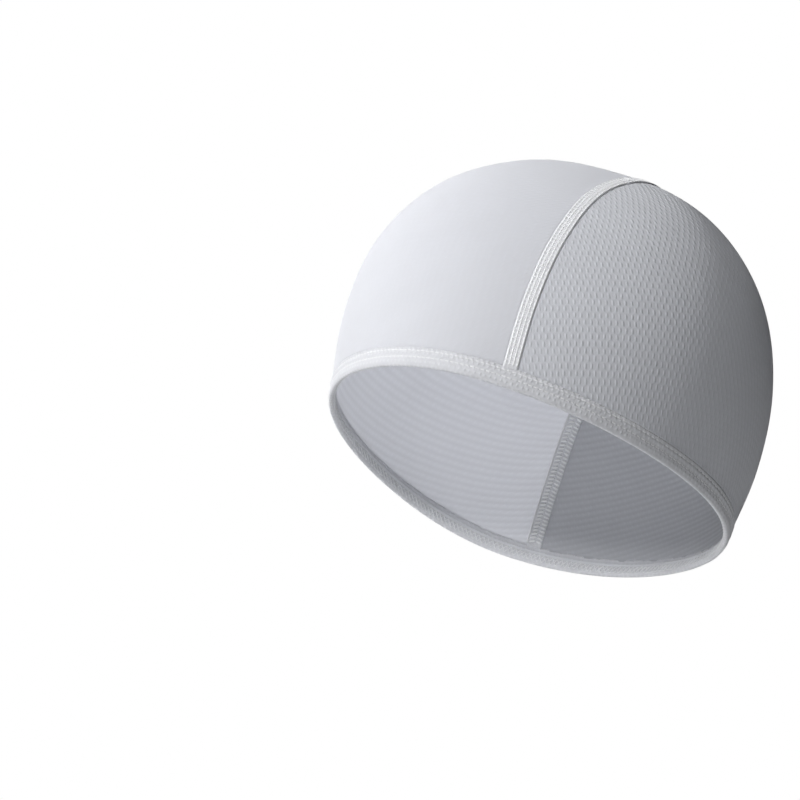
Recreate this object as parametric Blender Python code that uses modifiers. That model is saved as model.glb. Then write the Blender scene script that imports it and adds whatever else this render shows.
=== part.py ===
"""A close-fitting skull cap of thin stretch knit, the kind worn under a cycling helmet.

Two cloth panels meet in one flat raised seam, which runs over the top from side to side, and a
turned hem runs round the opening. Metres, +Z up, the front towards -Y, and the origin at the
middle of the opening, where the head goes in.
"""

from collections import namedtuple
from math import asin, atan2, cos, pi, radians, sin

import bmesh
import bpy
from mathutils import Vector

# The opening and the crown
HALF_LENGTH = 0.0951  # of the opening, from its middle to the front or back end
HALF_WIDTH = 0.0753  # of the opening, from its middle to either side
CROWN_HEIGHT = 0.1578  # from the ends of the opening to the top
RIM_DIP = 0.0046  # how much lower the rim lies at the sides than at its two ends

# The cloth and what is sewn to it
CLOTH = 0.0012  # the knit's thickness
HEM_HEIGHT = 0.0095
HEM_PROUD = 0.0007  # how far the hem stands out from the cloth, outside and inside
HEM_ROUNDING = 0.0008
SEAM_WIDTH = 0.0068
SEAM_PROUD = 0.0006
CLEARANCE = 0.0003  # between each piece and the next

# How finely the curved forms are divided
AROUND = 72
RISES = 20
HEM_ROWS = 3
SEAM_STEPS = 24

# Sections up the crown, evenly spaced in angle from the rim to the top. rise is a share of
# CROWN_HEIGHT; front, back and middle are distances along the cap as shares of HALF_LENGTH, front
# counted forwards; side is a share of HALF_WIDTH; corner fills out the four quarters of a section
# where it is above zero and draws them in where it is below.
Section = namedtuple("Section", "rise front back middle side corner")
SECTIONS = (
    Section(rise=0.000, front=1.000, back=1.000, middle=-0.121, side=1.000, corner=-0.025),
    Section(rise=0.259, front=1.127, back=1.001, middle=-0.124, side=1.020, corner=0.004),
    Section(rise=0.500, front=1.149, back=0.931, middle=-0.134, side=0.960, corner=0.032),
    Section(rise=0.707, front=1.021, back=0.775, middle=-0.146, side=0.830, corner=0.055),
    Section(rise=0.866, front=0.755, back=0.518, middle=-0.159, side=0.610, corner=0.073),
    Section(rise=0.966, front=0.447, back=0.199, middle=-0.169, side=0.320, corner=0.084),
    Section(rise=1.000, front=0.172, back=-0.172, middle=-0.172, side=0.000, corner=0.088),
)

# The seam's middle line, evenly spaced in height. back is how far behind the opening's middle it
# lies, as a share of HALF_LENGTH.
SeamPoint = namedtuple("SeamPoint", "rise back")
SEAM_LINE = (
    SeamPoint(rise=0.00, back=-0.016),
    SeamPoint(rise=0.25, back=-0.073),
    SeamPoint(rise=0.50, back=-0.097),
    SeamPoint(rise=0.75, back=-0.059),
    SeamPoint(rise=1.00, back=0.100),
)

Finish = namedtuple("Finish", "colour roughness")
FINISHES = {
    "panel_knit": Finish(colour=(0.80, 0.82, 0.86, 1.0), roughness=0.75),
    "seam_knit": Finish(colour=(0.84, 0.85, 0.88, 1.0), roughness=0.70),
    "hem_knit": Finish(colour=(0.82, 0.84, 0.87, 1.0), roughness=0.72),
}


def clear_scene():
    for obj in list(bpy.data.objects):
        bpy.data.objects.remove(obj)


def new_collection(name):
    collection = bpy.data.collections.new(name)
    bpy.context.scene.collection.children.link(collection)
    return collection


def make_materials():
    made = {}
    for name, finish in FINISHES.items():
        material = bpy.data.materials.new(name)
        material.use_nodes = True
        shader = material.node_tree.nodes["Principled BSDF"]
        shader.inputs["Base Color"].default_value = finish.colour
        shader.inputs["Roughness"].default_value = finish.roughness
        shader.inputs["Metallic"].default_value = 0.0
        made[name] = material
    return made


def ease(rows, column, share, past_top):
    """The column's value at a share of the way through evenly spaced rows, on a smooth curve.

    past_top gives the value that a row beyond the last would have, from the last two values.
    """
    values = [getattr(row, column) for row in rows]
    spans = len(values) - 1
    values = [2 * values[0] - values[1]] + values + [past_top(values[-2], values[-1])]
    place = min(max(share, 0.0), 1.0) * spans
    span = min(int(place), spans - 1)
    t = place - span
    a, b, c, d = values[span : span + 4]
    return b + 0.5 * t * (c - a + t * (2 * a - 5 * b + 4 * c - d + t * (3 * (b - c) + d - a)))


def same_again(below, top):
    """Beyond the top a section's height comes down again as it went up."""
    return below


def through_the_top(below, top):
    """Beyond the top a side of a section carries on across to the other side."""
    return 2 * top - below


def cap_point(around, up):
    """A point on the cloth's outer face: around is an angle from +X, up goes 0 at the rim to 1."""
    rise = ease(SECTIONS, "rise", up, same_again)
    middle = ease(SECTIONS, "middle", up, same_again)
    corner = ease(SECTIONS, "corner", up, same_again)
    side = ease(SECTIONS, "side", up, through_the_top)
    if sin(around) < 0:
        end = -ease(SECTIONS, "front", up, through_the_top)
    else:
        end = ease(SECTIONS, "back", up, through_the_top)
    fullness = 1 + corner * sin(2 * around) ** 2
    return Vector(
        (
            HALF_WIDTH * side * cos(around) * fullness,
            HALF_LENGTH * (middle + (end - middle) * abs(sin(around)) * fullness),
            CROWN_HEIGHT * rise - RIM_DIP * cos(around) ** 2 * (1 - rise),
        )
    )


def up_after(around, climb):
    """How far up the cap a line lies that has climbed this distance from the rim."""
    rim = cap_point(around, 0)
    low, high = 0.0, 0.5
    for _ in range(30):
        guess = (low + high) / 2
        if (cap_point(around, guess) - rim).length < climb:
            low = guess
        else:
            high = guess
    return low


def seam_middle(height):
    """How far behind the opening's middle the seam's middle line lies at this height."""
    share = ease(SEAM_LINE, "back", height / CROWN_HEIGHT, through_the_top)
    return HALF_LENGTH * share


def new_piece(name, bm, material, collection):
    mesh = bpy.data.meshes.new(name)
    bm.to_mesh(mesh)
    bm.free()
    mesh.shade_smooth()
    mesh.set_sharp_from_angle(angle=radians(40))
    mesh.materials.append(material)
    obj = bpy.data.objects.new(name, mesh)
    collection.objects.link(obj)
    return obj


def crown_surface():
    """The cloth's outer face above the hem: half a sphere, each vertex moved to its place."""
    bm = bmesh.new()
    bmesh.ops.create_uvsphere(bm, u_segments=AROUND, v_segments=2 * RISES, radius=1)
    below = [v for v in bm.verts if v.co.z < -0.5 / RISES]
    bmesh.ops.delete(bm, geom=below, context="VERTS")
    for vertex in bm.verts:
        around = atan2(vertex.co.y, vertex.co.x)
        share = asin(min(1, max(0, vertex.co.z))) / (pi / 2)
        start = up_after(around, HEM_HEIGHT + CLEARANCE)
        vertex.co = cap_point(around, start + (1 - start) * share)
    return bm


def hem_surface():
    """The cloth's outer face from the rim to the top of the hem: a hoop drawn up in rows."""
    bm = bmesh.new()
    bmesh.ops.create_circle(bm, segments=AROUND, radius=1)
    edges = list(bm.edges)
    for _ in range(HEM_ROWS):
        grown = bmesh.ops.extrude_edge_only(bm, edges=edges)["geom"]
        raised = [part for part in grown if isinstance(part, bmesh.types.BMVert)]
        edges = [part for part in grown if isinstance(part, bmesh.types.BMEdge)]
        bmesh.ops.translate(bm, verts=raised, vec=(0, 0, 1 / HEM_ROWS))
    for vertex in bm.verts:
        around = atan2(vertex.co.y, vertex.co.x)
        vertex.co = cap_point(around, up_after(around, HEM_HEIGHT * vertex.co.z))
    bm.normal_update()
    if any(face.normal.dot(face.calc_center_median()) < 0 for face in bm.faces):
        bmesh.ops.reverse_faces(bm, faces=bm.faces)
    return bm


def thicken(obj, proud):
    """Gives an outer face the cloth's wall, standing this far proud on both of its sides."""
    wall = obj.modifiers.new("wall", "SOLIDIFY")
    wall.thickness = CLOTH + 2 * proud
    wall.offset = -CLOTH / wall.thickness
    wall.use_even_offset = True
    wall.use_quality_normals = True


def seam_block(name, front_side, back_side, collection):
    """A block across the whole cap between two sides, each a place along the cap at a height."""
    beyond = HALF_WIDTH
    heights = [
        -beyond + (CROWN_HEIGHT + 2 * beyond) * step / SEAM_STEPS for step in range(SEAM_STEPS + 1)
    ]
    outline = [(front_side(height), height) for height in heights]
    outline += [(back_side(height), height) for height in reversed(heights)]
    bm = bmesh.new()
    face = bm.faces.new([bm.verts.new((-2 * HALF_WIDTH, y, z)) for y, z in outline])
    grown = bmesh.ops.extrude_face_region(bm, geom=[face])["geom"]
    moved = [part for part in grown if isinstance(part, bmesh.types.BMVert)]
    bmesh.ops.translate(bm, verts=moved, vec=(4 * HALF_WIDTH, 0, 0))
    bmesh.ops.recalc_face_normals(bm, faces=bm.faces)
    mesh = bpy.data.meshes.new(name)
    bm.to_mesh(mesh)
    bm.free()
    block = bpy.data.objects.new(name, mesh)
    block.hide_render = True
    block.display_type = "WIRE"
    collection.objects.link(block)
    return block


def keep_inside(obj, block):
    cut = obj.modifiers.new("cut", "BOOLEAN")
    cut.operation = "INTERSECT"
    cut.solver = "EXACT"
    cut.object = block


def build():
    clear_scene()
    cap = new_collection("skull_cap")
    cutters = new_collection("cutters")
    materials = make_materials()

    half_seam = SEAM_WIDTH / 2
    panel_edge = half_seam + CLEARANCE
    far = 2 * HALF_LENGTH
    sides = {
        "front_panel": (lambda z: -far, lambda z: seam_middle(z) - panel_edge),
        "crown_seam": (lambda z: seam_middle(z) - half_seam, lambda z: seam_middle(z) + half_seam),
        "back_panel": (lambda z: seam_middle(z) + panel_edge, lambda z: far),
    }
    crown_pieces = {
        "front_panel": ("panel_knit", 0.0),
        "crown_seam": ("seam_knit", SEAM_PROUD),
        "back_panel": ("panel_knit", 0.0),
    }
    for name, (finish, proud) in crown_pieces.items():
        piece = new_piece(name, crown_surface(), materials[finish], cap)
        thicken(piece, proud)
        keep_inside(piece, seam_block(name + "_block", *sides[name], cutters))

    hem = new_piece("rim_band", hem_surface(), materials["hem_knit"], cap)
    thicken(hem, HEM_PROUD)
    rounding = hem.modifiers.new("rounding", "BEVEL")
    rounding.width = HEM_ROUNDING
    rounding.segments = 2
    rounding.limit_method = "ANGLE"
    rounding.angle_limit = radians(50)


build()
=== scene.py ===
# %% [markdown]
# # A skull cap of thin white knit
#
# This lesson dresses a plain solid model of a close-fitting skull cap, the kind that is worn
# under a cycling helmet. Two cloth panels meet in one flat seam that runs over the top from ear
# to ear, and a turned hem runs round the opening. The solid model is loaded first. It never
# changes: each of its pieces is hidden and a finer piece takes its place.

# %% Load the solid model
from math import atan2, cos, pi, radians, sin

import bpy
import numpy as np
from mathutils import Matrix, Quaternion, Vector


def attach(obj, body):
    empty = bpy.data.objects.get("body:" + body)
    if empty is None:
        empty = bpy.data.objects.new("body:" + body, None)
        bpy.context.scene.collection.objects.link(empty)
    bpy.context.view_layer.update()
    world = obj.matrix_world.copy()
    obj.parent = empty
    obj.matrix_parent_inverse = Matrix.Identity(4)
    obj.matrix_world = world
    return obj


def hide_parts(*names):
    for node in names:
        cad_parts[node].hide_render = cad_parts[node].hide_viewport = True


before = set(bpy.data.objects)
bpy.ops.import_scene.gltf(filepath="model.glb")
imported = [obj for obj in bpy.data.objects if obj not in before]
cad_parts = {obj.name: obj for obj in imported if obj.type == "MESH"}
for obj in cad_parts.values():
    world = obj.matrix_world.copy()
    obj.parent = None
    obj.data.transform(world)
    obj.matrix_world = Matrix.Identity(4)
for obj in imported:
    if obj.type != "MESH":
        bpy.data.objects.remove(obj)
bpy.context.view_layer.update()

# %% [markdown]
# ## The form of the cap
#
# A worn cap has the form of the head inside it, so its shape is a smooth closed-in dome and not
# a set of flat parts. The easiest way to hold such a form is a short table of level sections,
# from the rim up to the top, with a smooth curve drawn through each column. The solid model was
# made from the same table, so the fine cloth lies where the plain cloth lay.

# %% The sections, and a smooth curve through a column
HALF_LENGTH = 0.0951
HALF_WIDTH = 0.0753
CROWN_HEIGHT = 0.1578
RIM_DIP = 0.0046  # how much lower the rim lies at the ears than at the forehead and the nape
CLOTH = 0.0012
HEM_HEIGHT = 0.0095

SECTIONS = {  # evenly spaced in angle, from the rim to the top, as shares of the sizes above
    "rise": (0.000, 0.259, 0.500, 0.707, 0.866, 0.966, 1.000),
    "front": (1.000, 1.127, 1.149, 1.021, 0.755, 0.447, 0.172),
    "back": (1.000, 1.001, 0.931, 0.775, 0.518, 0.199, -0.172),
    "middle": (-0.121, -0.124, -0.134, -0.146, -0.159, -0.169, -0.172),
    "side": (1.000, 1.020, 0.960, 0.830, 0.610, 0.320, 0.000),
    "corner": (-0.025, 0.004, 0.032, 0.055, 0.073, 0.084, 0.088),
}
SEAM_LINE = (-0.016, -0.073, -0.097, -0.059, 0.100)  # how far back the seam lies, going up
THROUGH_THE_TOP = ("front", "back", "side")


def eased(values, share, through_the_top):
    """A smooth curve through evenly spaced values, at shares of the way along them."""
    past = 2 * values[-1] - values[-2] if through_the_top else values[-2]
    rows = np.array([2 * values[0] - values[1], *values, past])
    place = np.clip(share, 0, 1) * (len(values) - 1)
    span = np.minimum(place.astype(int), len(values) - 2)
    t = place - span
    a, b, c, d = rows[span], rows[span + 1], rows[span + 2], rows[span + 3]
    return b + 0.5 * t * (c - a + t * (2 * a - 5 * b + 4 * c - d + t * (3 * (b - c) + d - a)))


def cap_point(around, up):
    """Points on the cloth's outer face: around is an angle from +X, up goes from 0 to 1."""
    around, up = np.broadcast_arrays(np.asarray(around, float), np.asarray(up, float))
    at = {name: eased(row, up, name in THROUGH_THE_TOP) for name, row in SECTIONS.items()}
    end = np.where(np.sin(around) < 0, -at["front"], at["back"])
    fullness = 1 + at["corner"] * np.sin(2 * around) ** 2
    reach = (end - at["middle"]) * np.abs(np.sin(around)) * fullness
    x = HALF_WIDTH * at["side"] * np.cos(around) * fullness
    y = HALF_LENGTH * (at["middle"] + reach)
    z = CROWN_HEIGHT * at["rise"] - RIM_DIP * np.cos(around) ** 2 * (1 - at["rise"])
    return np.stack([x, y, z], axis=-1)


def cap_normal(around, up, step=0.004):
    """Which way the cloth faces, from how its place changes round and up the cap."""
    up = np.clip(up, step, 1 - 2 * step)
    sideways = cap_point(around + step, up) - cap_point(around - step, up)
    upwards = cap_point(around, up + step) - cap_point(around, up - step)
    normal = np.cross(sideways, upwards)
    return normal / np.linalg.norm(normal, axis=-1, keepdims=True)


def up_after(around, climb):
    """How far up the cap a line lies that has climbed this many metres from the rim."""
    rim = cap_point(around, 0)
    low, high = np.zeros(np.shape(around)), np.full(np.shape(around), 0.5)
    for _ in range(30):
        guess = (low + high) / 2
        short = np.linalg.norm(cap_point(around, guess) - rim, axis=-1) < climb
        low, high = np.where(short, guess, low), np.where(short, high, guess)
    return low


print("top of the cap at", cap_point(0.0, 1.0).round(4))

# %% [markdown]
# ## Finding places by the seam
#
# The panels and the seam are easier to lay out from the seam line than from the rim. So a place
# on the dome is also named by two angles: one that goes along the seam, from one ear over the
# top to the other, and one that leaves the seam towards the forehead or the nape. Where the
# seam really runs is found by halving a range over and over, until the place is exact enough.

# %% Places on the dome, named from the seam
TUCK = 0.0010  # how far the cloth and the seam reach in behind the hem
ALONG = np.linspace(0, pi, 361)
AROUND = np.linspace(-pi, pi, 721)
start_rows = up_after(AROUND, HEM_HEIGHT - TUCK)


def dome_place(along, away):
    """The angle round the cap and the height up it for a place named from the seam."""
    x, y, z = np.cos(away) * np.cos(along), np.sin(away), np.cos(away) * np.sin(along)
    around = np.arctan2(y, x)
    start = np.interp(around, AROUND, start_rows)
    return around, start + (1 - start) * np.arcsin(np.clip(z, 0, 1)) / (pi / 2)


def seam_back(height):
    return HALF_LENGTH * eased(SEAM_LINE, height / CROWN_HEIGHT, True)


def away_at(offset):
    """For each angle along the seam, the angle away from it of a line this far behind it."""
    low, high = np.full(ALONG.shape, -1.2), np.full(ALONG.shape, 1.2)
    for _ in range(40):
        guess = (low + high) / 2
        place = cap_point(*dome_place(ALONG, guess))
        before = place[:, 1] < seam_back(place[:, 2]) + offset
        low, high = np.where(before, guess, low), np.where(before, high, guess)
    return low


seam_points = cap_point(*dome_place(ALONG, away_at(0.0)))
seam_steps = np.linalg.norm(np.diff(seam_points, axis=0), axis=1)
seam_length = seam_steps.sum()
seam_travel = np.concatenate([[0], np.cumsum(seam_steps)])
print(f"the seam is {seam_length * 1000:.0f} mm long over the top")

# %% [markdown]
# ## Small helpers
#
# Each piece is started from one of Blender's own primitives, and worked on in edit mode. An
# operator acts on everything that is selected, so the scene is deselected before each start.

# %% Helpers for starting, moving and finishing a piece
def deselect_all():
    if bpy.context.mode != "OBJECT":
        bpy.ops.object.mode_set(mode="OBJECT")
    bpy.ops.object.select_all(action="DESELECT")


def pick(piece):
    deselect_all()
    piece.select_set(True)
    bpy.context.view_layer.objects.active = piece
    return piece


def named(name):
    piece = bpy.context.object
    piece.name = piece.data.name = name
    return piece


def read_points(piece):
    flat = np.empty(3 * len(piece.data.vertices))
    piece.data.vertices.foreach_get("co", flat)
    return flat.reshape(-1, 3)


def move_points(piece, points):
    piece.data.vertices.foreach_set("co", np.asarray(points, float).ravel())
    piece.data.update()


def apply_modifier(piece, kind, **settings):
    pick(piece)
    modifier = piece.modifiers.new(kind.lower(), kind)
    for key, value in settings.items():
        setattr(modifier, key, value)
    bpy.ops.object.modifier_apply(modifier=modifier.name)


def finish_piece(piece, material, stands_for):
    """Smooth shading, the material, and the piece's place among the solid model's pieces."""
    pick(piece)
    bpy.ops.object.shade_smooth()
    piece.data.materials.clear()
    piece.data.materials.append(material)
    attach(piece, "root")
    if stands_for:
        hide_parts(stands_for)
    print(piece.name, len(piece.data.polygons), "faces")
    return piece


# %% [markdown]
# ## Knit as a pattern of rows and dots
#
# The cloth is a pique mesh knit. Seen close, it is covered in small raised dots that stand in
# rows, each row shifted by half a dot. Two cosine waves multiplied together make exactly such
# a grid. Four finishes use it, so it is a node group, built once, with the spacings as inputs.
# Shaders stay outside the group, and the group gives out only a relief and a shade.

# %% Helpers for nodes
def add_node(tree, kind, inputs=None, **settings):
    node = tree.nodes.new(kind)
    for key, value in settings.items():
        setattr(node, key, value)
    for key, value in (inputs or {}).items():
        if isinstance(value, bpy.types.NodeSocket):
            tree.links.new(value, node.inputs[key])
        else:
            node.inputs[key].default_value = value
    return node


def calc(tree, operation, *values):
    inputs = dict(enumerate(values))
    return add_node(tree, "ShaderNodeMath", inputs, operation=operation).outputs[0]


def new_group(name, inputs, outputs):
    """An empty node group; inputs and outputs are lists of a name, a kind and a first value."""
    tree = bpy.data.node_groups.new(name, "ShaderNodeTree")
    for direction, sockets in (("INPUT", inputs), ("OUTPUT", outputs)):
        for label, kind, value in sockets:
            socket = tree.interface.new_socket(
                name=label, in_out=direction, socket_type="NodeSocket" + kind
            )
            if value is not None:
                socket.default_value = value
    entrance = tree.nodes.new("NodeGroupInput").outputs
    way_out = tree.nodes.new("NodeGroupOutput").inputs
    return tree, entrance, way_out


# %% The knit group: raised dots in staggered rows, over fine loops
def build_knit_group():
    tree, given, result = new_group(
        "knit_rows",
        [
            ("Vector", "Vector", None),
            ("Dot spacing", "Float", 0.0027),
            ("Row spacing", "Float", 0.0030),
            ("Ribs", "Float", 0.0),
            ("Unevenness", "Float", 0.0003),
            ("Depth", "Float", 0.0002),
            ("Darkness", "Float", 0.3),
        ],
        [("Relief", "Float", None), ("Hollow", "Float", None)],
    )
    drift = add_node(tree, "ShaderNodeTexNoise", {"Vector": given[0], "Scale": 220, "Detail": 1})
    centred = add_node(
        tree, "ShaderNodeVectorMath", {0: drift.outputs["Color"], 1: (0.5,) * 3},
        operation="SUBTRACT",
    ).outputs[0]
    shift = add_node(
        tree, "ShaderNodeVectorMath", {0: centred, "Scale": given["Unevenness"]},
        operation="SCALE",
    ).outputs[0]
    moved = add_node(
        tree, "ShaderNodeVectorMath", {0: given[0], 1: shift}, operation="ADD"
    ).outputs[0]
    axes = add_node(tree, "ShaderNodeSeparateXYZ", {0: moved}).outputs
    across = calc(tree, "DIVIDE", calc(tree, "MULTIPLY", axes[0], 2 * pi), given["Dot spacing"])
    upward = calc(tree, "DIVIDE", calc(tree, "MULTIPLY", axes[1], pi), given["Row spacing"])
    wave = calc(tree, "MULTIPLY", calc(tree, "COSINE", across), calc(tree, "COSINE", upward))
    dots = calc(tree, "POWER", calc(tree, "MAXIMUM", wave, 0.0), 1.3)  # the power narrows them
    # Ribs: the back of the same knit shows its rows as plain ridges
    ridge = calc(tree, "COSINE", calc(tree, "MULTIPLY", upward, 2.0))
    ridges = calc(tree, "MULTIPLY_ADD", ridge, 0.5, 0.5)
    both = calc(
        tree, "ADD",
        calc(tree, "MULTIPLY", dots, calc(tree, "SUBTRACT", 1.0, given["Ribs"])),
        calc(tree, "MULTIPLY", ridges, given["Ribs"]),
    )
    # Fine loops of yarn, four to each dot's spacing
    loops = calc(
        tree, "MULTIPLY",
        calc(tree, "SINE", calc(tree, "MULTIPLY", across, 4.0)),
        calc(tree, "SINE", calc(tree, "MULTIPLY", upward, 6.0)),
    )
    relief = calc(tree, "MULTIPLY_ADD", loops, 0.08, both)
    tree.links.new(calc(tree, "MULTIPLY", relief, given["Depth"]), result["Relief"])
    # Painted shade: the hollows between the dots and between the ribs are darkened, by Darkness
    shade = calc(tree, "MULTIPLY", calc(tree, "SUBTRACT", 1.0, both), given["Darkness"])
    tree.links.new(shade, result["Hollow"])
    return tree


knit_group = build_knit_group()
print("node group:", knit_group.name)

# %% [markdown]
# ## The cloth's finishes
#
# White polyester is matt, slightly cool in colour, and lets some light through: the inside of
# the cap is bright where the light falls on the outside. Subsurface would draw dark lines where
# two pieces meet, so a share of the light goes on through each face of the cloth instead. The
# hollows between the dots hold less light, so they are painted a shade darker. The back panel's
# white is painted greyer on both of its faces, as painted shade for the side the light leaves dark.

# %% What the knit group gets for each cloth
UNEVENNESS = 0.0005  # how far the dots stray from their even places


def knit(dots, rows, ribs, depth, darkness):
    """The group's inputs: spacings and depth in metres, ribs and darkness as shares."""
    return {"Dot spacing": dots, "Row spacing": rows, "Ribs": ribs, "Unevenness": UNEVENNESS,
            "Depth": depth, "Darkness": darkness}


def blend(tree, share, first, second):
    return add_node(tree, "ShaderNodeMix", {0: share, 2: first, 3: second}).outputs[0]


def knit_on_cloth(tree, place, outside, inside, inner_painted_shade):
    """The relief and the shade of a cloth's outer face, and of its inner face where it has one."""
    outer = add_node(tree, "ShaderNodeGroup", {"Vector": place, **outside}, node_tree=knit_group)
    relief, shade = outer.outputs["Relief"], outer.outputs["Hollow"]
    if inside:
        inner = add_node(tree, "ShaderNodeGroup", {"Vector": place, **inside}, node_tree=knit_group)
        which = add_node(tree, "ShaderNodeAttribute", attribute_name="inner_face").outputs["Fac"]
        relief = blend(tree, which, relief, inner.outputs["Relief"])
        shade = blend(tree, which, shade, inner.outputs["Hollow"])
        # On the inner face the cloth is greyed further, a painted shade
        shade = calc(tree, "ADD", shade, calc(tree, "MULTIPLY", which, inner_painted_shade))
    return relief, shade


# %% One function makes each cloth finish
CLOTH_WHITE = (0.885, 0.893, 0.922, 1)
# The back panel's white, darkened as painted shade
BACK_SHADED_WHITE = (0.845, 0.858, 0.897, 1)
HOLLOW_SHARE = 0.7  # HOLLOW_SHARE = 0.7 # the painted shade of the darkest hollow, as a share of the cloth's colour
BLOTCHES = 0.10  # how much the shade drifts over the cloth


def cloth_material(name, white, sheerness, outside, inside=None, inner_painted_shade=0.0):
    """outside and inside are what the knit group gets on the cloth's two faces.

    sheerness is the share of the light that goes on through each face; the last argument is how
    much greyer the inner face is painted, as painted shade.
    """
    hollow = tuple(HOLLOW_SHARE * part for part in white[:3]) + (1,)
    material = bpy.data.materials.new(name)
    material.use_nodes = True
    tree = material.node_tree
    shader = tree.nodes["Principled BSDF"]
    place = add_node(tree, "ShaderNodeUVMap", uv_map="cloth").outputs[0]
    relief, dark = knit_on_cloth(tree, place, outside, inside, inner_painted_shade)
    blotch = add_node(
        tree, "ShaderNodeTexNoise", {"Vector": place, "Scale": 45, "Detail": 3}
    ).outputs["Fac"]
    # The painted shade of the hollows, plus blotches of tone that drift at random over the cloth
    shade = calc(tree, "ADD", dark, calc(tree, "MULTIPLY", blotch, BLOTCHES))
    colour = add_node(
        tree, "ShaderNodeMix", {0: shade, 6: white, 7: hollow}, data_type="RGBA"
    ).outputs[2]
    tree.links.new(colour, shader.inputs["Base Color"])
    bump = add_node(tree, "ShaderNodeBump", {"Height": relief, "Distance": 1.0})
    tree.links.new(bump.outputs[0], shader.inputs["Normal"])
    rough = calc(tree, "MULTIPLY_ADD", dark, 0.12, 0.80)
    tree.links.new(rough, shader.inputs["Roughness"])
    shader.inputs["Specular IOR Level"].default_value = 0.25
    shader.inputs["Sheen Weight"].default_value = 0.15
    shader.inputs["Sheen Roughness"].default_value = 0.5
    shader.inputs["Diffuse Roughness"].default_value = 0.7
    through = add_node(
        tree, "ShaderNodeBsdfTranslucent", {"Color": colour, "Normal": bump.outputs[0]}
    ).outputs[0]
    mixed = add_node(
        tree, "ShaderNodeMixShader", {0: sheerness, 1: shader.outputs[0], 2: through}
    ).outputs[0]
    tree.links.new(mixed, tree.nodes["Material Output"].inputs["Surface"])
    return material


# %% The four cloth finishes
front_knit = cloth_material(
    "front_pique", CLOTH_WHITE, sheerness=0.42,
    outside=knit(dots=0.0027, rows=0.0036, ribs=0.0, depth=0.00006, darkness=0.04),
    inside=knit(dots=0.0027, rows=0.0050, ribs=0.65, depth=0.00016, darkness=0.24),
)
back_knit = cloth_material(
    "back_pique", BACK_SHADED_WHITE, sheerness=0.26, inner_painted_shade=0.7,
    outside=knit(dots=0.0027, rows=0.0036, ribs=0.0, depth=0.00019, darkness=0.14),
    inside=knit(dots=0.0027, rows=0.0036, ribs=0.65, depth=0.00016, darkness=0.24),
)
hem_knit = cloth_material(
    "hem_pique", CLOTH_WHITE, sheerness=0.25,
    outside=knit(dots=0.0024, rows=0.0022, ribs=0.2, depth=0.00022, darkness=0.25),
)
seam_knit = cloth_material(
    "seam_cloth", CLOTH_WHITE, sheerness=0.20,
    outside=knit(dots=0.0016, rows=0.0011, ribs=0.3, depth=0.00008, darkness=0.1),
)
print("finishes:", front_knit.name, back_knit.name, hem_knit.name, seam_knit.name)

# %% [markdown]
# Thread is smoother and brighter than the cloth, with a fine twist along it.

# %% The thread's finish
def thread_material():
    material = bpy.data.materials.new("sewing_thread")
    material.use_nodes = True
    tree = material.node_tree
    shader = tree.nodes["Principled BSDF"]
    place = add_node(tree, "ShaderNodeTexCoord").outputs["Object"]
    twist = add_node(
        tree, "ShaderNodeTexWave", {"Vector": place, "Scale": 900, "Distortion": 2.0},
        wave_type="BANDS", bands_direction="DIAGONAL",
    ).outputs["Fac"]
    colour = add_node(
        tree, "ShaderNodeMix", {0: calc(tree, "MULTIPLY", twist, 0.35), 6: (0.94, 0.95, 0.96, 1),
                                7: (0.80, 0.81, 0.83, 1)}, data_type="RGBA",
    ).outputs[2]
    tree.links.new(colour, shader.inputs["Base Color"])
    bump = add_node(tree, "ShaderNodeBump", {"Height": twist, "Distance": 0.00005})
    tree.links.new(bump.outputs[0], shader.inputs["Normal"])
    shader.inputs["Roughness"].default_value = 0.6
    shader.inputs["Specular IOR Level"].default_value = 0.3
    return material


thread = thread_material()
print("finish:", thread.name)

# %% [markdown]
# ## The two panels
#
# Each panel is half of the crown, from the seam to the forehead or the nape. A sphere with
# poles would crowd its faces together at the top, so the panel starts as a cube: it is
# subdivided, blown up to a sphere and cut twice, which leaves a quarter of even square faces
# whose straight edge becomes the seam. Then each vertex moves to its place on the cap.

# %% A quarter of a cube sphere, from a primitive
PANEL_FACES = 96  # along each edge of the cube; even, so it halves


def quarter_ball(name, towards):
    deselect_all()
    bpy.ops.mesh.primitive_cube_add(size=2)
    piece = named(name)
    bpy.ops.object.mode_set(mode="EDIT")
    bpy.ops.mesh.subdivide(number_cuts=PANEL_FACES - 1)
    bpy.ops.object.mode_set(mode="OBJECT")
    points = np.tan(read_points(piece) * pi / 4)  # spaces the faces evenly over the ball
    move_points(piece, points)
    bpy.ops.object.mode_set(mode="EDIT")
    bpy.ops.mesh.select_all(action="SELECT")
    bpy.ops.transform.tosphere(value=1)
    for side in ((0, 0, 1), (0, towards, 0)):
        bpy.ops.mesh.select_all(action="SELECT")
        bpy.ops.mesh.bisect(
            plane_co=(0, 0, 0), plane_no=side, clear_inner=True, threshold=0.0001
        )
    bpy.ops.object.mode_set(mode="OBJECT")
    points = read_points(piece)
    move_points(piece, points / np.linalg.norm(points, axis=1, keepdims=True))
    return piece


# %% Lay a quarter ball on the cap, with its straight edge along the seam
SEAM_HALF = 0.0034
TUCK_SEAM = 0.0008  # how far the panels reach in under the raised seam


def lay_on_cap(piece, towards):
    x, y, z = read_points(piece).T
    along, share = np.arctan2(np.clip(z, 0, 1), x), np.abs(np.arcsin(np.clip(y, -1, 1))) / (pi / 2)
    edge = np.interp(along, ALONG, away_at(towards * (SEAM_HALF - TUCK_SEAM)))
    around, up = dome_place(along, edge + (towards * pi / 2 - edge) * share)
    move_points(piece, cap_point(around, up))
    return piece


panels = {}
for name, towards in (("front_panel_knit", -1), ("back_panel_knit", 1)):
    panels[name] = lay_on_cap(quarter_ball(name, towards), towards)
    points = read_points(panels[name])
    print(name, len(points), "points, the lowest corner of its box at", points.min(0).round(4))

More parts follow.
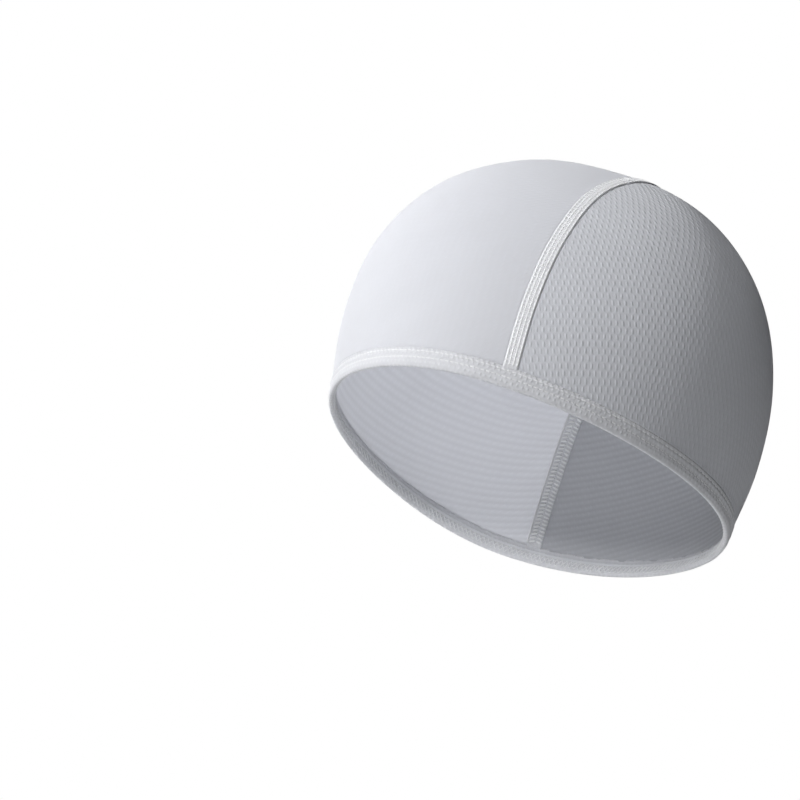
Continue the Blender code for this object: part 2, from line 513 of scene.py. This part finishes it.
# %% [markdown]
# ## The cut of a panel
#
# Knit is made flat, with straight rows, and the panel is cut out of it. So the rows must be
# straight on the flat cut, and bend only because the cut is drawn over a head. Unwrapping the
# finished form gives that cut back. Its UV map is then scaled to metres and turned upright, and
# every pattern of the cloth reads it. On the front panel the rows are bent on purpose, so that
# they look level inside the cap, as in the photograph.

# %% Unwrap a panel into its flat cut, in metres
NEAR_MIDDLE = 0.002  # how near the cap's middle a vertex counts as being on it
TIP = 0.03  # the share of the middle line that counts as its top or its foot


def flat_cut(piece, bend):
    """Gives the UV map real size and upright rows; returns the cut's width, height and area.

    bend says how strongly the rows curve away to both sides of the middle.
    """
    pick(piece)
    bpy.ops.object.mode_set(mode="EDIT")
    bpy.ops.mesh.select_all(action="SELECT")
    bpy.ops.uv.unwrap(method="MINIMUM_STRETCH", iterations=20, margin=0)
    bpy.ops.object.mode_set(mode="OBJECT")
    mesh = piece.data
    mesh.uv_layers.active.name = "cloth"
    uv = np.empty(2 * len(mesh.loops))
    mesh.uv_layers["cloth"].data.foreach_get("uv", uv)
    uv = uv.reshape(-1, 2)
    corner = np.empty(len(mesh.loops), int)
    mesh.loops.foreach_get("vertex_index", corner)
    points = read_points(piece)[corner]
    area = sum(face.area for face in mesh.polygons)
    flat = 0.0
    for face in mesh.polygons:
        u, v = uv[face.loop_start : face.loop_start + face.loop_total].T
        flat += abs(np.dot(u, np.roll(v, 1)) - np.dot(v, np.roll(u, 1))) / 2
    uv = (uv - uv.mean(0)) * np.sqrt(area / flat)
    middle = np.abs(points[:, 0]) < NEAR_MIDDLE
    top = uv[middle & (points[:, 2] > np.quantile(points[middle, 2], 1 - TIP))].mean(0)
    foot = uv[middle & (points[:, 2] < np.quantile(points[middle, 2], TIP))].mean(0)
    turn = atan2(*(top - foot))
    uv = uv @ np.array([[cos(turn), sin(turn)], [-sin(turn), cos(turn)]])
    width, height = np.ptp(uv, axis=0)
    middle_line = top[0] * cos(turn) - top[1] * sin(turn)
    uv[:, 1] -= bend * (uv[:, 0] - middle_line) ** 2
    mesh.uv_layers["cloth"].data.foreach_set("uv", uv.ravel())
    return width, height, area


ROW_BEND = {"front_panel_knit": 4.0, "back_panel_knit": 0.0}
for name, piece in panels.items():
    flat_cut(piece, ROW_BEND[name])

# %% [markdown]
# The cloth gets its thickness last, inwards, because the form above is that of its outer face.
# The vertices that the modifier adds are the inner face, and a mark on them tells the material
# to show the back of the knit there, and on the back panel to grey it as painted shade.

# %% Thickness, and a mark on the inner face
for name, piece in panels.items():
    outer_count = len(piece.data.vertices)
    apply_modifier(piece, "SOLIDIFY", thickness=CLOTH, offset=-1, use_even_offset=True)
    mark = piece.data.attributes.new("inner_face", "FLOAT", "POINT")
    mark.data.foreach_set(
        "value", (np.arange(len(piece.data.vertices)) >= outer_count).astype(float)
    )
    finish = front_knit if name.startswith("front") else back_knit
    finish_piece(piece, finish, name.replace("_knit", ""))

# %% [markdown]
# ## The hem
#
# The hem is the panels' own lower edge, turned up inside and sewn down with two rows of
# needle stitches, so it is twice as thick as the cloth. A torus is a closed ring already, with
# nothing to cap or weld. Its round section is swapped for the hem's: a soft fold below, two
# shallow grooves outside where the needles pull the cloth in, and a small roll and a step
# inside, where the turned edge ends.

# %% The hem's section, from its outside middle over the top and round by the inside
HEM_SECTION = (  # how far above the rim, and how far out from the cloth's outer face, in mm
    (5.6, 0.66), (6.4, 0.68), (7.0, 0.62), (7.5, 0.46), (7.8, 0.40), (8.1, 0.44),
    (8.6, 0.50), (9.1, 0.38), (9.5, 0.12), (9.6, -0.40), (9.6, -0.90), (9.4, -1.18),
    (8.6, -1.24), (7.6, -1.26), (6.9, -1.30), (6.55, -1.50), (6.45, -1.90), (6.2, -2.22),
    (5.85, -2.32), (5.5, -2.20), (5.25, -1.90), (5.0, -1.76), (4.6, -1.80), (4.1, -1.88),
    (3.4, -1.92), (2.7, -1.94), (2.0, -1.92), (1.3, -1.84), (0.75, -1.62), (0.3, -1.20),
    (0.05, -0.60), (0.25, 0.00), (0.7, 0.38), (1.3, 0.56), (2.2, 0.66), (3.2, 0.68),
    (3.9, 0.62), (4.3, 0.48), (4.6, 0.42), (4.9, 0.48),
)

# %% How far it is round the rim to each angle, half-way up the hem
HEM_MIDDLE = 0.005  # above the rim
RIM_STEPS = 1440
rim_angles = np.linspace(-pi, pi, RIM_STEPS + 1)
rim_line = cap_point(rim_angles, up_after(rim_angles, np.full(RIM_STEPS + 1, HEM_MIDDLE)))
rim_steps = np.linalg.norm(np.diff(rim_line, axis=0), axis=1)
rim_travel = np.concatenate([[0], np.cumsum(rim_steps)])
rim_length = rim_travel[-1]
print(f"the hem is {rim_length * 1000:.0f} mm round")

# %% The hem, from a torus
TORUS_STEPS = 256  # the most that Blender gives a torus
SWELLS = ((0.00006, 0.0061), (0.00005, 0.0173))  # how high and how long, round the rim

deselect_all()
bpy.ops.mesh.primitive_torus_add(
    major_segments=TORUS_STEPS, minor_segments=len(HEM_SECTION), major_radius=1, minor_radius=0.25
)
hem = named("rim_hem")
x, y, z = read_points(hem).T
around = np.arctan2(y, x)
step = np.rint(np.arctan2(z, np.hypot(x, y) - 1) / (2 * pi) * len(HEM_SECTION)).astype(int)
climb, proud = (np.array(HEM_SECTION)[step % len(HEM_SECTION)] / 1000).T
up = up_after(around, climb)
travel = np.interp(around, rim_angles, rim_travel)
# A sewn hem is never quite even, so it swells a very little and draws in again
swell = sum(height * np.sin(2 * pi * travel / length) for height, length in SWELLS)
move_points(
    hem, cap_point(around, up) + cap_normal(around, up) * (proud + swell * np.sign(proud))[:, None]
)
print("the hem stands out by", proud.max(), "and in by", proud.min())

# %% [markdown]
# A pattern that follows the hem needs its own map: metres round the rim one way, and metres up
# the hem the other. The map is written from the same two numbers that placed each vertex. One
# column of faces joins the end of the round to its start, so its corners are put past the end.

# %% The hem's own map
def write_map(piece, sideways, upwards, round_trip=None):
    mesh = piece.data
    layer = mesh.uv_layers.active or mesh.uv_layers.new(name="cloth")
    layer.name = "cloth"
    corner = np.empty(len(mesh.loops), int)
    mesh.loops.foreach_get("vertex_index", corner)
    u, v = sideways[corner], upwards[corner]
    if round_trip:
        for face in mesh.polygons:
            ring = slice(face.loop_start, face.loop_start + face.loop_total)
            if np.ptp(u[ring]) > round_trip / 2:
                u[ring] = np.where(u[ring] < round_trip / 2, u[ring] + round_trip, u[ring])
    layer.data.foreach_set("uv", np.stack([u, v], axis=1).ravel())


write_map(hem, travel, climb, rim_length)
finish_piece(hem, hem_knit, "rim_band")

# %% [markdown]
# ## The seam
#
# The two cut edges lie flat against each other under a band of thread, which is called a
# flatlock seam. It stands out a little on both sides, and is a little wider inside, where the
# cut edges lie. A grid as long as the seam starts it: its short side goes across the seam and
# its long side over the top. It gets low ridges where the threads run and then the thickness of
# the seam.

# %% Places on the seam, from how far along it and how far across it they lie
SEAM_REACH = 0.0050  # half the width of the strip that seam_place covers
REACH_LINES = 21
across_rows = np.linspace(-SEAM_REACH, SEAM_REACH, REACH_LINES)
across_away = np.array([away_at(offset) for offset in across_rows])


def seam_place(travel, across):
    """The angles of a place this far along the seam and this far across it."""
    along = np.interp(travel, seam_travel, ALONG)
    column = (across + SEAM_REACH) / (2 * SEAM_REACH) * (len(across_rows) - 1)
    left = np.clip(column.astype(int), 0, len(across_rows) - 2)
    spot = along / pi * (len(ALONG) - 1)
    low = np.clip(spot.astype(int), 0, len(ALONG) - 2)
    s, t = column - left, spot - low
    away = (
        (1 - s) * ((1 - t) * across_away[left, low] + t * across_away[left, low + 1])
        + s * ((1 - t) * across_away[left + 1, low] + t * across_away[left + 1, low + 1])
    )
    return dome_place(along, away)


# %% How far the seam band stands out of the cloth
SEAM_PROUD = 0.0006
SEAM_ROWS = (-0.0026, -0.0009, 0.0009, 0.0026)  # where the needle threads run, across the seam
SEAM_ROUNDING = 0.0011
RIDGE_WIDTH = 0.0006


def seam_profile(across):
    """How far the band stands out: rounded edges, and a slight hollow between the threads."""
    edge = np.clip((SEAM_HALF - np.abs(across)) / SEAM_ROUNDING, 0, 1)
    ridge = sum(np.exp(-(((across - row) / RIDGE_WIDTH) ** 2)) for row in SEAM_ROWS)
    return SEAM_PROUD * (0.10 + 0.80 * np.sqrt(edge * (2 - edge)) * (0.80 + 0.20 * ridge))


print("the seam stands out by", seam_profile(np.array(SEAM_ROWS)).round(5), "at its threads")

# %% The seam band, from a grid
SEAM_COLUMNS = 24
SEAM_LENGTHS = 360
SEAM_INSIDE = 0.0036  # half the seam's width inside
INSIDE_PROUD = 0.8  # how far the band stands out inside, as a share of how far it does outside

deselect_all()
bpy.ops.mesh.primitive_grid_add(
    x_subdivisions=SEAM_LENGTHS, y_subdivisions=SEAM_COLUMNS, size=2
)
seam = named("crown_seam_band")
x, y, z = read_points(seam).T
seam_at, across = (x + 1) / 2 * seam_length, y * SEAM_HALF
around, up = seam_place(seam_at, across)
proud = seam_profile(across)
move_points(seam, cap_point(around, up) + cap_normal(around, up) * proud[:, None])
# Laid over the top from the +X side, the grid's faces look into the cap
bpy.ops.object.mode_set(mode="EDIT")
bpy.ops.mesh.select_all(action="SELECT")
bpy.ops.mesh.flip_normals()
bpy.ops.object.mode_set(mode="OBJECT")
outer_count = len(seam.data.vertices)
apply_modifier(seam, "SOLIDIFY", thickness=CLOTH, offset=-1)
points = read_points(seam)
wide = across * SEAM_INSIDE / SEAM_HALF
around, up = seam_place(seam_at, wide)
depth = CLOTH + proud * INSIDE_PROUD
points[outer_count:] = cap_point(around, up) - cap_normal(around, up) * depth[:, None]
move_points(seam, points)
write_map(seam, np.tile(seam_at, 2), np.concatenate([across, wide]))
finish_piece(seam, seam_knit, "crown_seam")

# %% [markdown]
# ## Stitches
#
# A stitch is a short piece of thread that dives into the cloth at both ends. It is modelled
# once, from a ball of few faces that is drawn out and flattened. Then it is copied along a
# line, and each copy is turned so that it lies along the line and faces out of the cloth.

# %% One stitch, and copies of it along a line
def one_stitch(length, width, height):
    deselect_all()
    bpy.ops.mesh.primitive_uv_sphere_add(segments=8, ring_count=6, radius=0.5)
    stitch = named("stitch")
    bpy.ops.object.mode_set(mode="EDIT")
    bpy.ops.mesh.select_all(action="SELECT")
    bpy.ops.transform.rotate(value=pi / 2, orient_axis="Y", center_override=(0, 0, 0))
    bpy.ops.transform.resize(value=(length, width, height), center_override=(0, 0, 0))
    bpy.ops.object.mode_set(mode="OBJECT")
    return stitch


def sew(name, stitch, places, headings, normals, material, slot):
    """Copies of the stitch at these places, each along its heading, joined into one piece."""
    copies = []
    for place, heading, normal in zip(places, headings, normals):
        copy = stitch.copy()
        copy.data = stitch.data.copy()
        out = Vector(normal).normalized()
        side = out.cross(Vector(heading)).normalized()
        turn = Matrix((side.cross(out), side, out)).transposed().to_4x4()
        copy.data.transform(Matrix.Translation(Vector(place)) @ turn)
        bpy.context.collection.objects.link(copy)
        copies.append(copy)
    bpy.data.objects.remove(stitch)
    deselect_all()
    for copy in copies:
        copy.select_set(True)
    bpy.context.view_layer.objects.active = copies[0]
    bpy.ops.object.join()
    return finish_piece(named(name), material, None)


def line_frames(points, normals):
    """Middles, headings and normals of the stitches between one point and the next."""
    middles = (points[1:] + points[:-1]) / 2
    return middles, points[1:] - points[:-1], (normals[1:] + normals[:-1]) / 2


# %% The two needle rows outside the hem
NEEDLE_ROWS = (0.0046, 0.0078)  # above the rim
NEEDLE_PROUD = 0.00042
STITCH = 0.0024  # from one needle hole to the next


def rim_places(climb, proud, count, phase=0.0):
    """Evenly spaced points round the hem at this height, and which way the cloth faces."""
    travel = (np.arange(count + 1) + phase) * rim_length / count % rim_length
    around = np.interp(travel, rim_travel, rim_angles)
    up = up_after(around, np.broadcast_to(climb, around.shape))
    normal = cap_normal(around, up)
    return cap_point(around, up) + normal * np.broadcast_to(proud, around.shape)[:, None], normal


stitch_count = round(rim_length / STITCH)
parts = [
    line_frames(*rim_places(row, NEEDLE_PROUD, stitch_count, phase))
    for row, phase in zip(NEEDLE_ROWS, (0.0, 0.5))
]
sew(
    "hem_needle_stitches", one_stitch(length=0.82 * STITCH, width=0.00050, height=0.00036),
    *(np.concatenate(rows) for rows in zip(*parts)), thread, "hem_knit",
)

# %% [markdown]
# Inside the hem, below the turned edge, two looper threads swing up and down in a zigzag. Drawn
# as a curve with a round bevel each is one continuous thread, as it is on the cap.

# %% A continuous thread through a list of points
def lay_thread(name, points, radius, closed, material):
    curve = bpy.data.curves.new(name, "CURVE")
    curve.dimensions = "3D"
    line = curve.splines.new("NURBS")
    line.points.add(len(points) - 1)
    line.points.foreach_set("co", np.column_stack([points, np.ones(len(points))]).ravel())
    line.use_cyclic_u = closed
    line.use_endpoint_u = not closed
    line.order_u = 3
    curve.resolution_u = 2
    curve.bevel_depth = radius
    curve.bevel_resolution = 1
    curve.use_fill_caps = not closed
    piece = bpy.data.objects.new(name, curve)
    bpy.context.collection.objects.link(piece)
    pick(piece)
    bpy.ops.object.convert(target="MESH")
    bpy.ops.object.mode_set(mode="EDIT")
    bpy.ops.mesh.select_all(action="SELECT")
    bpy.ops.mesh.remove_doubles(threshold=0.00001)
    bpy.ops.mesh.normals_make_consistent(inside=False)
    bpy.ops.object.mode_set(mode="OBJECT")
    return finish_piece(named(name), material, None)


# %% The looper threads inside the hem
INSIDE_FACE = -(CLOTH + 0.00070)  # from the cloth's outer face to the hem's inner one
LOOPERS = (("hem_looper_low", 0.0022, 0), ("hem_looper_high", 0.0038, 2))  # height, first swing
LOOPER_REACH = 0.0010
LOOPER_RADIUS = 0.00021
SWINGS = np.array([-1.0, -0.9, 1.0, 0.9])  # four points to a stitch
PAST_FACE = np.array([-0.00006, -0.00024, -0.00006, -0.00024])  # how far past the inner face

zig = np.arange(len(SWINGS) * stitch_count)
for name, middle, first in LOOPERS:
    turn = (zig + first) % len(SWINGS)
    climb, proud = middle + LOOPER_REACH * SWINGS[turn], INSIDE_FACE + PAST_FACE[turn]
    places, _ = rim_places(np.append(climb, climb[0]), np.append(proud, proud[0]), len(zig))
    lay_thread(name, places[:-1], LOOPER_RADIUS, True, thread)

# %% [markdown]
# The seam carries four rows of needle stitches outside, and a cover thread that swings from one
# side of it to the other over them.

# %% The needle threads outside the seam, and the thread that crosses it
SEAM_ENDS = 0.0020  # how far from each end of the seam its threads stop
SEAM_STITCH = 0.0022  # from one needle hole to the next
COVER_REACH = 0.0029  # how far the cover thread swings to each side of the seam's middle
COVER_SWINGS = np.array([-1.0, -0.85, 1.0, 0.85])
COVER_RADIUS = 0.00014


def seam_line_points(across, proud, count):
    travel = np.linspace(SEAM_ENDS, seam_length - SEAM_ENDS, count)
    around, up = seam_place(travel, np.broadcast_to(across, travel.shape))
    normal = cap_normal(around, up)
    return cap_point(around, up) + normal * np.broadcast_to(proud, travel.shape)[:, None], normal


seam_stitches = round((seam_length - 2 * SEAM_ENDS) / SEAM_STITCH)
rows = [
    line_frames(*seam_line_points(row, 0.84 * SEAM_PROUD, seam_stitches + 1)) for row in SEAM_ROWS
]
sew(
    "seam_needle_stitches", one_stitch(length=0.0021, width=0.0006, height=0.0003),
    *(np.concatenate(part) for part in zip(*rows)), thread, "seam_knit",
)
zig = np.arange(len(COVER_SWINGS) * seam_stitches)
swing = COVER_SWINGS[zig % len(COVER_SWINGS)]
places, _ = seam_line_points(COVER_REACH * swing, 0.80 * SEAM_PROUD, len(zig))
lay_thread("seam_cover_thread", places, COVER_RADIUS, False, thread)

# %% [markdown]
# Inside, the seam looks like two ladders of thick, soft loops, with a smooth round edge on the
# front panel's side. The loops are stitches too, laid across the seam, and the edge is a thread.

# %% The loops inside the seam: two columns of short rungs, each rung slanting across
LOOP_COLUMNS = (-0.0014, 0.0020)
LOOP_SLANT = 0.35
LOOP_STEP = 0.0021
EDGE_ACROSS = -0.0038
EDGE_SUNK = 0.0001  # how far the edge thread's middle lies past the cloth's inner face
EDGE_RADIUS = 0.00055

loop_count = round((seam_length - 2 * SEAM_ENDS) / LOOP_STEP)
rungs = []
for column, lean in zip(LOOP_COLUMNS, (1, -1)):
    places, normals = seam_line_points(column, -(CLOTH + 0.9 * SEAM_PROUD), loop_count + 1)
    middles, headings, normals = line_frames(places, normals)
    sideways = np.cross(normals, headings)
    rungs.append((middles, sideways + lean * LOOP_SLANT * headings, -normals))
sew(
    "seam_inside_loops", one_stitch(length=0.0031, width=0.0013, height=0.0011),
    *(np.concatenate(part) for part in zip(*rungs)), thread, "seam_knit",
)
places, _ = seam_line_points(EDGE_ACROSS, -(CLOTH + EDGE_SUNK), loop_count)
lay_thread("seam_edge_thread", places, EDGE_RADIUS, False, thread)

# %% [markdown]
# ## The cloth as worn
#
# The cap is worn, so the panels are stretched over a head, and the hem and the seam go
# with them.

# %% [markdown]
# ## The room
#
# The cap is held up as a head holds it, so the floor lies well below. The light comes from five
# soft boxes. A small key and a side light stand level with the cap at its front, so the back
# panel falls into shade towards the nape. Another is overhead and a weak one is below. The
# strongest stands behind the cap, and shines through the cloth into the hollow.

# %% The floor
FLOOR_DROP = 0.80
FLOOR_SIZE = 12
FLOOR_GREY = (0.82, 0.82, 0.82, 1)
FLOOR_GLOW = {"Color": (0.85, 0.85, 0.86, 1), "Strength": 0.8}
GLOW_SEEN = 0.85  # the share of the floor's look that is this glow

deselect_all()
bpy.ops.mesh.primitive_plane_add(size=FLOOR_SIZE, location=(0, 0, -FLOOR_DROP))
floor = named("floor")
floor_finish = bpy.data.materials.new("pale_floor")
floor_finish.use_nodes = True
tree = floor_finish.node_tree
shader = tree.nodes["Principled BSDF"]
shader.inputs["Base Color"].default_value = FLOOR_GREY
shader.inputs["Roughness"].default_value = 0.9
# The floor looks pale, but throws no more light at the cap than the soft boxes give it
seen = add_node(tree, "ShaderNodeLightPath").outputs["Is Camera Ray"]
pale = add_node(tree, "ShaderNodeEmission", FLOOR_GLOW)
mixed = add_node(
    tree, "ShaderNodeMixShader",
    {0: calc(tree, "MULTIPLY", seen, GLOW_SEEN), 1: shader.outputs[0], 2: pale.outputs[0]},
).outputs[0]
tree.links.new(mixed, tree.nodes["Material Output"].inputs["Surface"])
floor.data.materials.append(floor_finish)

# %% The background: white to look at, and a dim light on the cap
world = bpy.context.scene.world or bpy.data.worlds.new("studio")
bpy.context.scene.world = world
world.use_nodes = True
tree = world.node_tree
tree.nodes.clear()
seen = add_node(tree, "ShaderNodeLightPath").outputs["Is Camera Ray"]
white = add_node(tree, "ShaderNodeBackground", {"Color": (1, 1, 1, 1), "Strength": 1.0})
dim = add_node(tree, "ShaderNodeBackground", {"Color": (0.95, 0.97, 1, 1), "Strength": 0.02})
mix = add_node(
    tree, "ShaderNodeMixShader", {0: seen, 1: dim.outputs[0], 2: white.outputs[0]}
).outputs[0]
add_node(tree, "ShaderNodeOutputWorld", {"Surface": mix})

# %% The soft boxes
MIDDLE = Vector((0, -0.005, 0.07))
SOFT_BOXES = (  # a name, where it stands seen from the cap, its edge, its distance, its power
    ("key", Vector((0.65, -0.76, -0.09)), 0.2, 1.25, 9.5),
    ("side", Vector((0.50, -0.86, 0.10)), 0.3, 1.25, 5.5),
    ("overhead", Vector((0.57, -0.46, 0.71)), 0.5, 1.25, 8.0),
    ("low", Vector((0.60, 0.39, -0.72)), 0.4, 1.00, 1.3),
    ("backdrop", Vector((-0.92, -0.43, 0.23)), 0.6, 1.25, 22.0),
)
for name, direction, size, distance, power in SOFT_BOXES:
    lamp = bpy.data.lights.new(name, "AREA")
    lamp.size, lamp.energy = size, power
    light = bpy.data.objects.new(name, lamp)
    bpy.context.collection.objects.link(light)
    light.location = MIDDLE + direction.normalized() * distance
    light.rotation_euler = direction.to_track_quat("Z", "Y").to_euler()
print("lights:", [box[0] for box in SOFT_BOXES])

# %% [markdown]
# ## The camera
#
# The photograph looks up into the cap from below its rim, with the cap leaning over. The
# camera's place was found by matching the outline, the rim and the seam.

# %% The camera
EYE = Vector((0.9702, 0.2912, -0.5295))
LOOKS_AT = Vector((0.0223, -0.0595, 0.0043))
ROLL = 26.964  # degrees
LENS = 115.67  # millimetres, on a sensor of the width below
SENSOR_WIDTH = 36

camera = bpy.data.objects.new("camera", bpy.data.cameras.new("camera"))
bpy.context.collection.objects.link(camera)
camera.data.lens, camera.data.sensor_width = LENS, SENSOR_WIDTH
camera.data.clip_start = 0.05
camera.location = EYE
camera.rotation_mode = "QUATERNION"
camera.rotation_quaternion = (LOOKS_AT - EYE).to_track_quat("-Z", "Y") @ Quaternion(
    (0, 0, 1), radians(ROLL)
)
bpy.context.scene.camera = camera
bpy.context.scene.view_settings.view_transform = "Standard"
print("camera axes", camera.rotation_quaternion.to_matrix())
